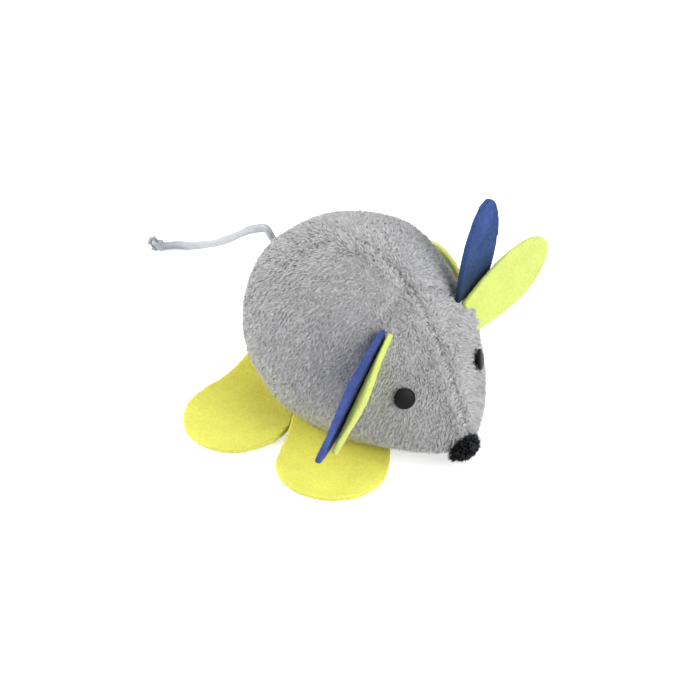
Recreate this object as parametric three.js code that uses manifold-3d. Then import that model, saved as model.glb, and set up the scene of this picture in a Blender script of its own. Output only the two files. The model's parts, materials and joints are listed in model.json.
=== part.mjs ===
// Plush toy mouse: a stuffed plush skin of three panels, felt ears and feet, and a cord tail.
// Millimetres, +Z up. The mouse looks along +X and its left side is +Y.

import * as THREE from 'three';
import { mergeVertices } from 'three/addons/utils/BufferGeometryUtils.js';
import Module from 'manifold-3d';

const wasm = await Module();
wasm.setup();

// The stuffed body
const bodyLength = 73;
const bodyWidth = 57;
const bodyHeight = 54;
const plushThickness = 2.4;
const restingFlat = 0.5;
const seamDepth = 1.1;
const seamReach = 3.2;

// The clearance between pieces that touch on the real toy, and how far a cut runs past its work
const seat = 0.3;
const overrun = 4;

// Felt: how far each petal stands out of its seam, and the part caught inside
const feltThickness = 1.4;
const hangingEarCaught = 7;
const standingEarCaught = 3;
const footCaught = 3.5;
const blueEarReach = 31;
const rightLimeEarReach = 27;
const leftLimeEarReach = 29;
const earWidth = 14.5;
const earRootWidth = 10;
const footReach = 34;
const rightFrontFootReach = 24;
const curledFootReach = 39;
const footWidth = 29.5;
const frontFootRootWidth = 23;
const rearFootRootWidth = 13;
const footBendReach = 14;
const feltCup = 0.6;
const curlReach = 16;
const foldOut = 0.5;

// How far each pair of ear petals opens like a book, and the slope of the curled foot at its root
// and past its curl, in degrees
const earOpening = 7;
const curlRoot = 42;
const curlTip = 80;

// Eyes: a flat button on a shank, locked by a washer behind the plush
const eyeDiameter = 5.8;
const eyeRim = 0.5;
const eyeCrown = 0.6;
const shankDiameter = 2;
const shankLength = 6.5;
const washerDiameter = 6.6;
const washerThickness = 1;
const washerSink = 0.9;

// The pompom nose
const noseLength = 7;
const noseWidth = 9;
const noseHeight = 6.6;
const noseForward = -1.1;
const noseSideways = -1.2;

// The tail cord and its knot
const cordDiameter = 2.2;
const knotLength = 5.4;
const knotWidth = 4.6;
const knotHeight = 4.2;

// How fine the forms are
const bodyRings = 22;
const petalStations = 12;
const petalColumns = 4;
const turnedSegments = 18;
const cordSides = 8;
const cordSteps = 16;

// The body's sections, evenly spaced from rump to snout, as shares of its width and height
const halfWidthShares = [0, 0.45, 0.79, 0.965, 1, 0.88, 0.63, 0.29, 0];
const topShares = [0.5, 0.73, 0.9, 0.985, 0.99, 0.865, 0.59, 0.28, 0.13];
const bottomShares = [0.5, 0.25, 0.09, 0.015, 0, 0, 0.018, 0.058, 0.13];
const middleShares = [0.5, 0.47, 0.45, 0.43, 0.41, 0.35, 0.26, 0.165, 0.13];
const crownFullness = 2.22;
const bellyFullness = 2.05;
const poleShare = 0.11;

// Columns round a section, from the back seam down one side to the belly, in degrees
const columnDegrees = [0, 3, 8, 16, 28, 42, 57, 73, 90, 106, 122, 137, 151, 164, 180];

// The belly panel, as shares of the body's half width and of its run from rump to snout
const bellyWidthShare = 0.66;
const bellyRunShares = [0.1, 0.87];
const bellyHeightShare = 0.22;
const bellyTaper = 0.25;

// Where along and round the body the pieces are sewn, as shares of its run, and in degrees
const rightEyeAlongShare = 0.757;
const rightEyeDegrees = 53;
const leftEyeAlongShare = 0.774;
const leftEyeDegrees = 47;
const rightEarAlongShare = 0.67;
const rightEarDegrees = 48.8;
const leftEarAlongShare = 0.676;
const leftEarDegrees = 49;
const frontFootAlongShare = 0.567;
const rearFootAlongShare = 0.262;
const tailAlongShare = 0.1;

// The widest place of a petal, as a share of its length
const widestShare = 0.52;

// The eye's domed front, as shares of its radius and of its crown
const eyeCrownShares = [[1, 0], [0.86, 0.5], [0.5, 0.88], [0, 1]];

const degrees = THREE.MathUtils.degToRad;
const felt = { roughness: 0.95, metalness: 0 };
const plush = new THREE.MeshStandardMaterial({ color: 0xa9a9ab, roughness: 0.95, metalness: 0 });
const filling = new THREE.MeshStandardMaterial({ color: 0xf2f1ec, roughness: 1, metalness: 0 });
const blueFelt = new THREE.MeshStandardMaterial({ color: 0x3a58a8, ...felt });
const limeFelt = new THREE.MeshStandardMaterial({ color: 0xe0f07c, ...felt });
const yellowFelt = new THREE.MeshStandardMaterial({ color: 0xeeec66, ...felt });
const eyePlastic = new THREE.MeshStandardMaterial({ color: 0x1c1c1d, roughness: 0.55, metalness: 0 });
const washerPlastic = new THREE.MeshStandardMaterial({ color: 0xe8e8e6, roughness: 0.5, metalness: 0 });
const pompomYarn = new THREE.MeshStandardMaterial({ color: 0x17181a, roughness: 1, metalness: 0 });
const satinCord = new THREE.MeshStandardMaterial({ color: 0xd9dde0, roughness: 0.6, metalness: 0 });

// A smooth run through evenly spaced shares
function smoothShares(shares) {
  const curve = new THREE.SplineCurve(shares.map((share, i) => new THREE.Vector2(i, share)));
  return (along) => curve.getPoint(THREE.MathUtils.clamp(along, 0, 1)).y;
}

const halfWidthAt = smoothShares(halfWidthShares);
const topAt = smoothShares(topShares);
const bottomAt = smoothShares(bottomShares);
const middleAt = smoothShares(middleShares);

// A point of the plush surface. Along runs 0 to 1 from rump to snout tip, which is at x = 0, and
// around is 0 on the back seam, a quarter turn on the left flank and a half turn on the belly.
function surfacePoint(along, around) {
  const halfWidth = bodyWidth / 2 * halfWidthAt(along);
  const middle = bodyHeight * middleAt(along);
  const rise = Math.cos(around);
  const fullness = rise > 0 ? crownFullness : bellyFullness;
  const half = rise > 0 ? bodyHeight * topAt(along) - middle : middle - bodyHeight * bottomAt(along);
  const side = Math.sin(around);
  const y = halfWidth * Math.sign(side) * Math.abs(side) ** (2 / fullness);
  const seam = seamDepth * Math.sin(Math.PI * along) * Math.exp(-((y / seamReach) ** 2));
  const z = middle + half * Math.sign(rise) * Math.abs(rise) ** (2 / fullness) - seam * Math.max(rise, 0);
  return new THREE.Vector3(-bodyLength * (1 + Math.cos(Math.PI * along)) / 2, y, z - restingFlat);
}

// The outward direction of the plush at a point
function surfaceNormal(along, around) {
  const step = 1e-3;
  const run = surfacePoint(along + step, around).sub(surfacePoint(along - step, around));
  const turn = surfacePoint(along, around + step).sub(surfacePoint(along, around - step));
  return run.cross(turn).normalize();
}

// A point at a distance outside the plush surface, or inside it where that is negative
function offsetPoint(along, around, distance) {
  return surfacePoint(along, around).addScaledVector(surfaceNormal(along, around), distance);
}

function indexedGeometry(points, triangles) {
  const geometry = new THREE.BufferGeometry();
  const flat = points.flatMap((point) => point.toArray());
  geometry.setAttribute('position', new THREE.Float32BufferAttribute(flat, 3));
  geometry.setIndex(triangles.flat());
  return geometry;
}

// The closed body surface moved out by a distance: rings of points between two poles
function bodyGeometry(distance, rings) {
  const leftColumns = columnDegrees.map(degrees);
  const rightColumns = leftColumns.slice(1, -1).reverse().map((angle) => -angle);
  const columns = [...leftColumns, ...rightColumns];
  const points = [surfacePoint(0, 0), surfacePoint(1, 0)];
  points[0].x -= distance;
  points[1].x += distance;
  const first = distance < 0 ? poleShare : 1 / rings;
  for (let ring = 1; ring < rings; ring++) {
    const along = THREE.MathUtils.mapLinear(ring, 1, rings - 1, first, 1 - first);
    points.push(...columns.map((around) => offsetPoint(along, around, distance)));
  }
  const index = (ring, column) => 2 + (ring - 1) * columns.length + (column % columns.length);
  const triangles = [];
  for (let column = 0; column < columns.length; column++) {
    triangles.push([0, index(1, column), index(1, column + 1)]);
    triangles.push([1, index(rings - 1, column + 1), index(rings - 1, column)]);
    for (let ring = 1; ring < rings - 1; ring++) {
      const ahead = index(ring + 1, column + 1);
      triangles.push([index(ring, column), index(ring + 1, column), ahead]);
      triangles.push([index(ring, column), ahead, index(ring, column + 1)]);
    }
  }
  return indexedGeometry(points, triangles);
}

// A closed geometry as a solid for cutting, and back again
function toSolid(geometry) {
  const bare = geometry.clone();
  bare.deleteAttribute('normal');
  bare.deleteAttribute('uv');
  const merged = mergeVertices(bare);
  return new wasm.Manifold(new wasm.Mesh({
    numProp: 3,
    vertProperties: new Float32Array(merged.attributes.position.array),
    triVerts: new Uint32Array(merged.index.array),
  }));
}

function toGeometry(solid) {
  const { vertProperties, triVerts } = solid.getMesh();
  const geometry = new THREE.BufferGeometry();
  geometry.setAttribute('position', new THREE.BufferAttribute(new Float32Array(vertProperties), 3));
  geometry.setIndex(new THREE.BufferAttribute(new Uint32Array(triVerts), 1));
  return geometry;
}

function boxSolid(low, high) {
  const size = high.clone().sub(low);
  const centre = high.clone().add(low).divideScalar(2);
  return toSolid(new THREE.BoxGeometry(size.x, size.y, size.z).translate(...centre.toArray()));
}

// A round solid along +Z between two heights
function rodSolid(diameter, low, high) {
  const rod = new THREE.CylinderGeometry(diameter / 2, diameter / 2, high - low, turnedSegments);
  return toSolid(rod.rotateX(Math.PI / 2).translate(0, 0, (low + high) / 2));
}

// A turned piece from pairs of radius and height
function turnedGeometry(profile) {
  const points = profile.map(([radius, height]) => new THREE.Vector2(radius, height));
  return new THREE.LatheGeometry(points, turnedSegments).rotateX(Math.PI / 2);
}

// A frame at a point with its x axis along one direction and its z axis as near as can be to another
function frameAt(origin, forward, facing) {
  const x = forward.clone().normalize();
  const z = facing.clone().addScaledVector(x, -facing.dot(x)).normalize();
  return new THREE.Matrix4().makeBasis(x, z.clone().cross(x), z).setPosition(origin);
}

const group = new THREE.Group();

function addPiece(name, geometry, material) {
  const mesh = new THREE.Mesh(geometry, material);
  mesh.name = name;
  group.add(mesh);
  return mesh;
}

// The plush skin: the body surface less its inside, cut flat where it rests on the floor
const floorSolid = boxSolid(
  new THREE.Vector3(-bodyLength - overrun, -bodyWidth, -bodyHeight),
  new THREE.Vector3(overrun, bodyWidth, 0),
);
const grownBody = toSolid(bodyGeometry(seat, bodyRings));
let skin = toSolid(bodyGeometry(0, bodyRings)).subtract(floorSolid);
skin = skin.subtract(toSolid(bodyGeometry(-plushThickness, bodyRings)));
let stuffing = toSolid(bodyGeometry(-plushThickness - seat, bodyRings));

// Half the width of the belly panel, which narrows to its two ends
function bellyHalfWidth(along) {
  const [rear, front] = bellyRunShares;
  const taper = Math.sin(Math.PI * (along - rear) / (front - rear)) ** bellyTaper;
  return bodyWidth / 2 * halfWidthAt(along) * bellyWidthShare * taper;
}

// The belly panel's column of space, drawn from above and grown by a clearance
function bellyColumn(clearance) {
  const [rear, front] = bellyRunShares;
  const outline = [];
  for (let step = 1; step < bodyRings; step++) {
    const along = rear + (front - rear) * step / bodyRings;
    outline.push(new THREE.Vector2(surfacePoint(along, 0).x, bellyHalfWidth(along) + clearance));
  }
  const mirrored = outline.map((point) => new THREE.Vector2(point.x, -point.y)).reverse();
  const shape = new THREE.Shape([...outline, ...mirrored]);
  const depth = bodyHeight * bellyHeightShare + overrun + clearance;
  const column = new THREE.ExtrudeGeometry(shape, { depth, bevelEnabled: false });
  return toSolid(column.translate(0, 0, -overrun));
}

// Eyes, built along +Z and set on the surface normal, with their holes in the plush and filling
const eyeProfile = [
  [0, -shankLength],
  [shankDiameter / 2, -shankLength],
  [shankDiameter / 2, 0],
  [eyeDiameter / 2, 0],
  ...eyeCrownShares.map(([radiusShare, heightShare]) => (
    [eyeDiameter / 2 * radiusShare, eyeRim + eyeCrown * heightShare]
  )),
];
const washerTop = -seat - plushThickness - washerSink;
const washerProfile = [
  [shankDiameter / 2 + seat, washerTop - washerThickness],
  [washerDiameter / 2, washerTop - washerThickness],
  [washerDiameter / 2, washerTop],
  [shankDiameter / 2 + seat, washerTop],
  [shankDiameter / 2 + seat, washerTop - washerThickness],
];
const eyePlaces = [
  ['right', rightEyeAlongShare, -degrees(rightEyeDegrees)],
  ['left', leftEyeAlongShare, degrees(leftEyeDegrees)],
];
for (const [sideName, along, around] of eyePlaces) {
  const normal = surfaceNormal(along, around);
  const level = new THREE.Vector3(0, 0, 1).cross(normal);
  const frame = frameAt(offsetPoint(along, around, seat), level, normal);
  addPiece(`${sideName}_eye`, turnedGeometry(eyeProfile), eyePlastic).applyMatrix4(frame);
  addPiece(`${sideName}_eye_washer`, turnedGeometry(washerProfile), washerPlastic).applyMatrix4(frame);
  const placed = (solid) => solid.transform(frame.elements);
  skin = skin.subtract(placed(rodSolid(shankDiameter + 2 * seat, washerTop, overrun)));
  skin = skin.subtract(placed(rodSolid(eyeDiameter + 2 * seat, -seat, overrun)));
  stuffing = stuffing.subtract(placed(rodSolid(shankDiameter + 2 * seat, -shankLength - seat, 0)));
  const pocketFloor = washerTop - washerThickness - seat;
  stuffing = stuffing.subtract(placed(rodSolid(washerDiameter + 2 * seat, pocketFloor, 0)));
}

// The three panels and what fills them
const sidePanels = skin.subtract(bellyColumn(seat));
const seamPlane = new THREE.Vector3(bodyLength + overrun, bodyWidth, 2 * bodyHeight);
const rightHalf = boxSolid(seamPlane.clone().negate(), new THREE.Vector3(overrun, -seat / 2, seamPlane.z));
const leftHalf = boxSolid(new THREE.Vector3(-seamPlane.x, seat / 2, -seamPlane.z), seamPlane);
addPiece('right_side_panel', toGeometry(sidePanels.intersect(rightHalf)), plush);
addPiece('left_side_panel', toGeometry(sidePanels.intersect(leftHalf)), plush);
addPiece('belly_panel', toGeometry(skin.intersect(bellyColumn(0))), plush);
addPiece('stuffing', toGeometry(stuffing), filling);

// The middle line of a bent sheet: straight where it is caught, then turning as it runs out.
// Its slope at a distance from the root comes from slopeAt, in radians.
function middleLine(slopeAt, distance) {
  if (distance <= 0) {
    return { x: distance * Math.cos(slopeAt(0)), z: distance * Math.sin(slopeAt(0)) };
  }
  const pieces = 40;
  const line = { x: 0, z: 0 };
  for (let piece = 0; piece < pieces; piece++) {
    const slope = slopeAt(distance * (piece + 0.5) / pieces);
    line.x += Math.cos(slope) * distance / pieces;
    line.z += Math.sin(slope) * distance / pieces;
  }
  return line;
}

// An oval felt petal that leaves its root at the origin along +X and bends towards +Z
function petalGeometry({ reach, caught, width, rootWidth, lift, slopeAt }) {
  const points = [];
  for (const face of [-1, 1]) {
    for (let station = 0; station <= petalStations; station++) {
      const share = Math.sin(Math.PI / 2 * station / petalStations);
      const distance = share * (reach + caught) - caught;
      const { x, z } = middleLine(slopeAt, distance);
      const slope = slopeAt(Math.max(distance, 0));
      const fullWidth = share < widestShare
        ? rootWidth + (width - rootWidth) * Math.sin(Math.PI / 2 * share / widestShare)
        : width * Math.sqrt(1 - ((share - widestShare) / (1 - widestShare)) ** 2);
      for (let column = 0; column <= petalColumns; column++) {
        const y = fullWidth * (column / petalColumns - 0.5);
        const off = lift + feltCup * (2 * y / width) ** 2 + face * feltThickness / 2;
        points.push(new THREE.Vector3(x - off * Math.sin(slope), y, z + off * Math.cos(slope)));
      }
    }
  }
  const row = petalColumns + 1;
  const under = (station, column) => station * row + column;
  const over = (station, column) => under(station, column) + (petalStations + 1) * row;
  const triangles = [];
  const quad = (a, b, c, d) => triangles.push([a, b, c], [a, c, d]);
  for (let station = 0; station < petalStations; station++) {
    const next = station + 1;
    for (let column = 0; column < petalColumns; column++) {
      const beside = column + 1;
      quad(under(station, column), under(station, beside), under(next, beside), under(next, column));
      quad(over(station, column), over(next, column), over(next, beside), over(station, beside));
    }
    quad(under(station, 0), under(next, 0), over(next, 0), over(station, 0));
    const edge = petalColumns;
    quad(under(next, edge), under(station, edge), over(station, edge), over(next, edge));
  }
  for (let column = 0; column < petalColumns; column++) {
    const beside = column + 1;
    quad(under(0, beside), under(0, column), over(0, column), over(0, beside));
    const tip = petalStations;
    quad(under(tip, column), under(tip, beside), over(tip, beside), over(tip, column));
  }
  return indexedGeometry(points, triangles);
}

// A solid turned about an axis through a point
function turned(solid, point, axis, angle) {
  const turn = new THREE.Matrix4().makeTranslation(point);
  turn.multiply(new THREE.Matrix4().makeRotationAxis(axis, angle));
  turn.multiply(new THREE.Matrix4().makeTranslation(point.clone().negate()));
  return solid.transform(turn.elements);
}

// A petal in its frame, kept clear of the floor and of the plush at every turn of its fold. It folds
// just out of its seam, between two turns in degrees, about an axis that points so that a positive
// turn is towards the side that the petal faces. Where across is given, its root ends in a straight
// line across that direction.
function addPetal(name, material, frame, petal, foldAxis) {
  const axis = foldAxis.clone().normalize();
  const slope = petal.slopeAt(0);
  const point = new THREE.Vector3(Math.cos(slope), 0, Math.sin(slope)).multiplyScalar(foldOut);
  point.add(new THREE.Vector3(-Math.sin(slope), 0, Math.cos(slope)).multiplyScalar(petal.lift));
  point.applyMatrix4(frame);
  let sheet = toSolid(petalGeometry(petal).applyMatrix4(frame)).subtract(floorSolid).subtract(grownBody);
  if (petal.across) {
    const reach = new THREE.Vector3(1, 1, 1).multiplyScalar(petal.reach);
    const below = boxSolid(reach.clone().negate(), reach.clone().setZ(0));
    const root = new THREE.Vector3().setFromMatrixPosition(frame);
    sheet = sheet.subtract(below.transform(frameAt(root, axis, petal.across).elements));
  }
  for (const limit of petal.folds) {
    for (const angle of [limit / 2, limit]) {
      sheet = sheet.subtract(turned(grownBody, point, axis, -degrees(angle)));
    }
  }
  const mesh = addPiece(name, toGeometry(sheet), material);
  mesh.userData.hinge = { point, axis, folds: petal.folds };
}

// Ears: two petals in the dart on each side of the head, open a little like a book. The right pair
// hangs, seen edge on, and the left pair stands up, its lime petal splayed outwards. A layer share
// says how far in front of the dart a petal is sewn, and folds are its limits in degrees.
const right = { along: rightEarAlongShare, around: -degrees(rightEarDegrees) };
const left = { along: leftEarAlongShare, around: degrees(leftEarDegrees) };
const ears = [
  {
    name: 'right_ear_blue', material: blueFelt, ...right, reach: blueEarReach,
    caught: hangingEarCaught, layerShare: -0.88, folds: [-25, 0],
    forward: new THREE.Vector3(0.223, -0.847, -0.484), facing: new THREE.Vector3(0.86, 0.411, -0.303),
  },
  {
    name: 'right_ear_lime', material: limeFelt, ...right, reach: rightLimeEarReach,
    caught: hangingEarCaught, layerShare: 0.85, folds: [0, 35],
    forward: new THREE.Vector3(0.248, -0.835, -0.494), facing: new THREE.Vector3(0.798, 0.45, -0.4),
  },
  {
    name: 'left_ear_blue', material: blueFelt, ...left, reach: blueEarReach,
    caught: standingEarCaught, layerShare: -0.95, folds: [-30, 0],
    forward: new THREE.Vector3(0.01, 0.23, 0.975), facing: new THREE.Vector3(0.99, 0.12, -0.045),
  },
  {
    name: 'left_ear_lime', material: limeFelt, ...left, reach: leftLimeEarReach,
    caught: standingEarCaught, layerShare: 1.8, folds: [0, 20],
    forward: new THREE.Vector3(-0.01, 0.95, 0.3), facing: new THREE.Vector3(0.98, -0.03, 0.18),
  },
];
const earLift = (feltThickness + seat + earWidth / 2 * Math.sin(degrees(earOpening))) / 2;
for (const { name, material, along, around, reach, caught, layerShare, folds, forward, facing } of ears) {
  const frame = frameAt(offsetPoint(along, around, seat), forward, facing);
  const petal = {
    reach, caught, folds, width: earWidth, rootWidth: earRootWidth,
    lift: layerShare * earLift, slopeAt: () => 0, across: surfaceNormal(along, around),
  };
  addPetal(name, material, frame, petal, petal.across.clone().cross(facing));
}

// Feet: petals caught in the belly seam. Three lie flat on the floor, and the left front foot is
// curled up against the flank. A turn is measured from straight outwards, to the front, and a
// lean is how far the curled foot tilts to the rear, both in degrees.
const front = { alongShare: frontFootAlongShare, rootWidth: frontFootRootWidth };
const rear = { alongShare: rearFootAlongShare, rootWidth: rearFootRootWidth };
const feet = [
  { name: 'right_front_foot', side: -1, ...front, reach: rightFrontFootReach, turn: 28, folds: [0, 25] },
  { name: 'right_rear_foot', side: -1, ...rear, reach: footReach, turn: 14, folds: [0, 25] },
  {
    name: 'left_front_foot', side: 1, ...front, reach: curledFootReach,
    turn: 0, lean: 28, folds: [-30, 0],
  },
  { name: 'left_rear_foot', side: 1, ...rear, reach: footReach, turn: -8, folds: [0, 25] },
];
for (const { name, side, alongShare, rootWidth, reach, turn, lean = 0, folds } of feet) {
  const widthShare = bellyHalfWidth(alongShare) / (bodyWidth / 2 * halfWidthAt(alongShare));
  const around = side * (Math.PI - Math.asin(widthShare ** (bellyFullness / 2)));
  const root = offsetPoint(alongShare, around, seat);
  const outward = new THREE.Vector3(Math.sin(degrees(turn)), side * Math.cos(degrees(turn)), 0);
  const facing = new THREE.Vector3(-Math.sin(degrees(lean)), 0, Math.cos(degrees(lean)));
  // A slope that fades as a square over a reach lowers the foot by a third of its start times the reach
  const rootSlope = -3 * (root.z - feltThickness) / footBendReach;
  const lying = (distance) => rootSlope * Math.max(1 - distance / footBendReach, 0) ** 2;
  const curling = (distance) => (
    degrees(THREE.MathUtils.lerp(curlRoot, curlTip, Math.min(distance / curlReach, 1)))
  );
  const petal = {
    reach, caught: footCaught, folds, width: footWidth, rootWidth,
    lift: -feltThickness / 2, slopeAt: lean ? curling : lying,
  };
  addPetal(name, yellowFelt, frameAt(root, outward, facing), petal, outward.clone().cross(facing));
}

// The pompom nose, flattened where it is sewn to the snout
const noseBall = new THREE.SphereGeometry(0.5, turnedSegments, turnedSegments / 2);
noseBall.scale(noseLength, noseWidth, noseHeight);
noseBall.translate(noseForward, noseSideways, surfacePoint(1, 0).z);
addPiece('nose', toGeometry(toSolid(noseBall).subtract(grownBody)), pompomYarn);

// The tail cord: out of the back seam, down to the floor and along it to its knot
const tailRoot = offsetPoint(tailAlongShare, 0, seat);
const tailOut = surfaceNormal(tailAlongShare, 0);
const tailRoute = [
  [-75.8, -0.4, 39.6], [-78.8, -0.7, 38.5], [-82.6, -0.3, 36.1], [-87.2, 1.3, 32.5], [-92.6, 3.5, 28],
  [-99.1, 6.3, 22.6], [-105.8, 9.1, 17.4], [-112.4, 11.8, 12.4], [-118.8, 14.3, 8], [-124, 16.2, 4.5],
  [-127.7, 17, 2.3], [-130.7, 16.5, 1.3], [-132.8, 14.9, 1.15], [-134.2, 12.8, 1.15],
];
const tailPoints = [tailRoot, tailRoot.clone().addScaledVector(tailOut, cordDiameter)];
tailPoints.push(...tailRoute.map((point) => new THREE.Vector3(...point)));
const tailCurve = new THREE.CatmullRomCurve3(tailPoints, false, 'centripetal');
const cordSection = new THREE.Shape();
cordSection.absarc(0, 0, cordDiameter / 2, 0, 2 * Math.PI);
const cordGeometry = new THREE.ExtrudeGeometry(cordSection, {
  steps: cordSteps, curveSegments: cordSides / 2, extrudePath: tailCurve, bevelEnabled: false,
});
addPiece('tail_cord', cordGeometry, satinCord);
const tailEnd = tailCurve.getPoint(1);
const tailHeading = tailCurve.getTangent(1);
const knotBall = new THREE.SphereGeometry(0.5, turnedSegments, turnedSegments / 2);
knotBall.scale(knotLength, knotWidth, knotHeight);
const knotCentre = tailEnd.clone().addScaledVector(tailHeading, knotLength / 2 + seat);
knotCentre.z = knotHeight / 2;
knotBall.applyMatrix4(frameAt(knotCentre, tailHeading.clone().setZ(0), new THREE.Vector3(0, 0, 1)));
addPiece('tail_knot', knotBall, satinCord);

// The origin: under the middle of the mouse itself, on the floor, with the tail left out
const extent = new THREE.Box3();
for (const piece of group.children) {
  if (!piece.name.startsWith('tail')) {
    extent.expandByObject(piece, true);
  }
}
const middle = extent.getCenter(new THREE.Vector3());
group.position.set(-middle.x, -middle.y, -extent.min.z);

export default group;
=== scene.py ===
import json
import math

import bpy
import numpy as np
from mathutils import Matrix, Vector, noise
from mathutils.bvhtree import BVHTree


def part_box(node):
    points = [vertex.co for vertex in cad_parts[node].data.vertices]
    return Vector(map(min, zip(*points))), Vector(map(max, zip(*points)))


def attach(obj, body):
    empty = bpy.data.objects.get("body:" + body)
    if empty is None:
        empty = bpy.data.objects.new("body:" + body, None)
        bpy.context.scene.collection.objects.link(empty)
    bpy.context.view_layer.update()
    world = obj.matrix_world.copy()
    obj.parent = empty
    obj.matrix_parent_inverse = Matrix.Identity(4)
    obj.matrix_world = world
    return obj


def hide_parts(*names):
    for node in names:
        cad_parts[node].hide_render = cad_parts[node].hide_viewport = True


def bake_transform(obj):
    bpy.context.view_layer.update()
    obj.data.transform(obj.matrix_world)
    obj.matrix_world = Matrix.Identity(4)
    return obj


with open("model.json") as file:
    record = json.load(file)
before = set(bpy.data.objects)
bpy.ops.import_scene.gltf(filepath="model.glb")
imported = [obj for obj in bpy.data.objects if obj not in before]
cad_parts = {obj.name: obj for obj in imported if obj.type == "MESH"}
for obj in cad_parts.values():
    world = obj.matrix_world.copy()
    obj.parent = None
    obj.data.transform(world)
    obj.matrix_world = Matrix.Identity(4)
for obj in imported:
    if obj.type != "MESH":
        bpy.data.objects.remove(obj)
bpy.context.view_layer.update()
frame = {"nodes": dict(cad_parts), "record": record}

# The plush toy mouse in its finished materials. Metres, +Z up; it looks along +X, and +Y is its left.
mm = 0.001

# Camera, at the photograph's viewing angle
view_azimuth = math.radians(45)
view_elevation = math.radians(35.5)
view_distance = 650 * mm
view_lens = 123.8
view_target = Vector((-44 * mm, 0, 15 * mm))

# Plush: how far the backing cloth lies under the tips of its pile, and the fibres of the pile
backing_sink = 0.7 * mm
backing_voxel = 0.65 * mm
lump_size = 13 * mm
lump_height = 0.5 * mm
tuft_length = 1.55 * mm
tuft_width = 0.27 * mm
tuft_lean = math.radians(46)
tuft_sink = 0.3 * mm
tuft_clearance = 0.2 * mm
side_tufts = 64000
belly_tufts = 18000

# The pile lies in combed streaks: their width and length, and how far they wander
streak_width = 0.62 * mm
streak_length = 1.8 * mm
streak_wander = 2.2 * mm
streak_slant = 0.25
swirl_size = 9 * mm
body_girth_radius = 27 * mm
curl_size = 2.4 * mm
seam_fade = 4 * mm
seam_close = 1.3 * mm

# The pile stands up more from the ears forward
head_start_x = 12 * mm
head_run = 12 * mm

# The dart on each side of the head, a groove from the back seam down to the ears
dart_top_x = 15 * mm
dart_depth = 0.9 * mm
dart_reach = 1.3 * mm

# The plush is gathered up round the roots of the standing ear
gather_height = 3.2 * mm
gather_reach = 3.9 * mm

# How the plush is drawn in and up under the chin
chin_x = 29 * mm
chin_reach = 12 * mm
chin_height = 12 * mm
chin_tuck = 1 * mm
chin_lift = 2.3 * mm

# The left shoulder is stuffed fuller
shoulder = Vector((-4 * mm, 19 * mm, 48 * mm))
shoulder_reach = 10 * mm
shoulder_height = 1.6 * mm

# How the flank sags over the right feet
sag_x = -6 * mm
sag_reach = 18 * mm
sag_height = 18 * mm
sag_out = 1.8 * mm
sag_down = 1.8 * mm

# The stitches beside the back seam, from behind the ears to the nose
stitch_rear_x = 9 * mm
stitch_front_x = 37 * mm
stitch_aside = 1.1 * mm
stitch_pitch = 2.1 * mm
stitch_swing = 0.3 * mm
stitch_depth = 0.4 * mm
stitch_gap = 0.66 * mm
thread_diameter = 0.34 * mm
ridge_aside = 1.3 * mm
ridge_height = 0.7 * mm
ridge_reach = 1 * mm
groove_depth = 0.7 * mm
groove_reach = 0.7 * mm
seam_pull = 0.8 * mm
seam_pull_reach = 2 * mm

# Felt, and the loose fibres on it
felt_voxel = 0.42 * mm
felt_grain = 1.3 * mm
felt_rise = 0.16 * mm
felt_thickness = 1.4 * mm
felt_cup = 0.6 * mm
ear_size = (14.5 * mm, 10 * mm, 10 * mm, 0.52)
front_foot_size = (29.5 * mm, 29.5 * mm, 24 * mm, 0.52)
rear_foot_size = (29.5 * mm, 13.5 * mm, 7 * mm, 0.58)
curled_foot_size = (29.5 * mm, 23 * mm, 23 * mm, 0.52)
hanging_ear_caught = 7 * mm
standing_ear_caught = 3 * mm
foot_caught = 3.5 * mm
foot_tuck = 5 * mm
fold_out = 0.5 * mm
foot_bend_reach = 14 * mm
curl_reach = 16 * mm
curl_root = math.radians(42)
curl_tip = math.radians(80)
drape_clearance = 0.2 * mm
fuzz_length = 0.5 * mm
fuzz_width = 0.045 * mm
fuzz_share = 3.2

# The left eye is sewn a little askew, turned to the rear and tilted
left_eye_turn = math.radians(18)
left_eye_tilt = math.radians(-14)
left_eye_tilt_axis = Vector((1, -1, 1))

# Pompom nose
yarn_width = 0.28 * mm
yarn_strands = 2600
nose_core_share = 0.72
nose_tuft = (-0.55, -0.75, -0.3)
nose_tuft_share = 0.72

# Tail: the route of the middle of the cord, in the mouse's own frame, whose origin is under the snout
cord_diameter = 2.45 * mm
cord_flatness = 0.9
cord_pitch = 60 * mm
cord_groove = 0.2
fray_strands = 90
fray_length = 2.8 * mm
fray_width = 0.22 * mm
fray_way = (-0.35, -0.3, 0.85)
cord_sides = 20
cord_step = 0.6 * mm
tail_route = [
    (-0.0715, 0, 0.0362), (-0.07358, 0, 0.0369), (-0.0758, -0.0004, 0.0396), (-0.0788, -0.0007, 0.0385),
    (-0.0826, -0.0003, 0.0361), (-0.0872, 0.0013, 0.0325), (-0.0926, 0.0035, 0.028),
    (-0.0991, 0.0063, 0.0226), (-0.1058, 0.0091, 0.0174), (-0.1124, 0.0118, 0.0124),
    (-0.1188, 0.0143, 0.008), (-0.124, 0.0162, 0.0045), (-0.1277, 0.017, 0.0023),
    (-0.1307, 0.0165, 0.0013), (-0.1328, 0.0149, 0.00115), (-0.1342, 0.0128, 0.00115),
]

right_low, right_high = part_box("right_side_panel")
left_low, left_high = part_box("left_side_panel")
seam_y = (right_high.y + left_low.y) / 2
snout = Vector((right_high.x, seam_y, 0))


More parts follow.
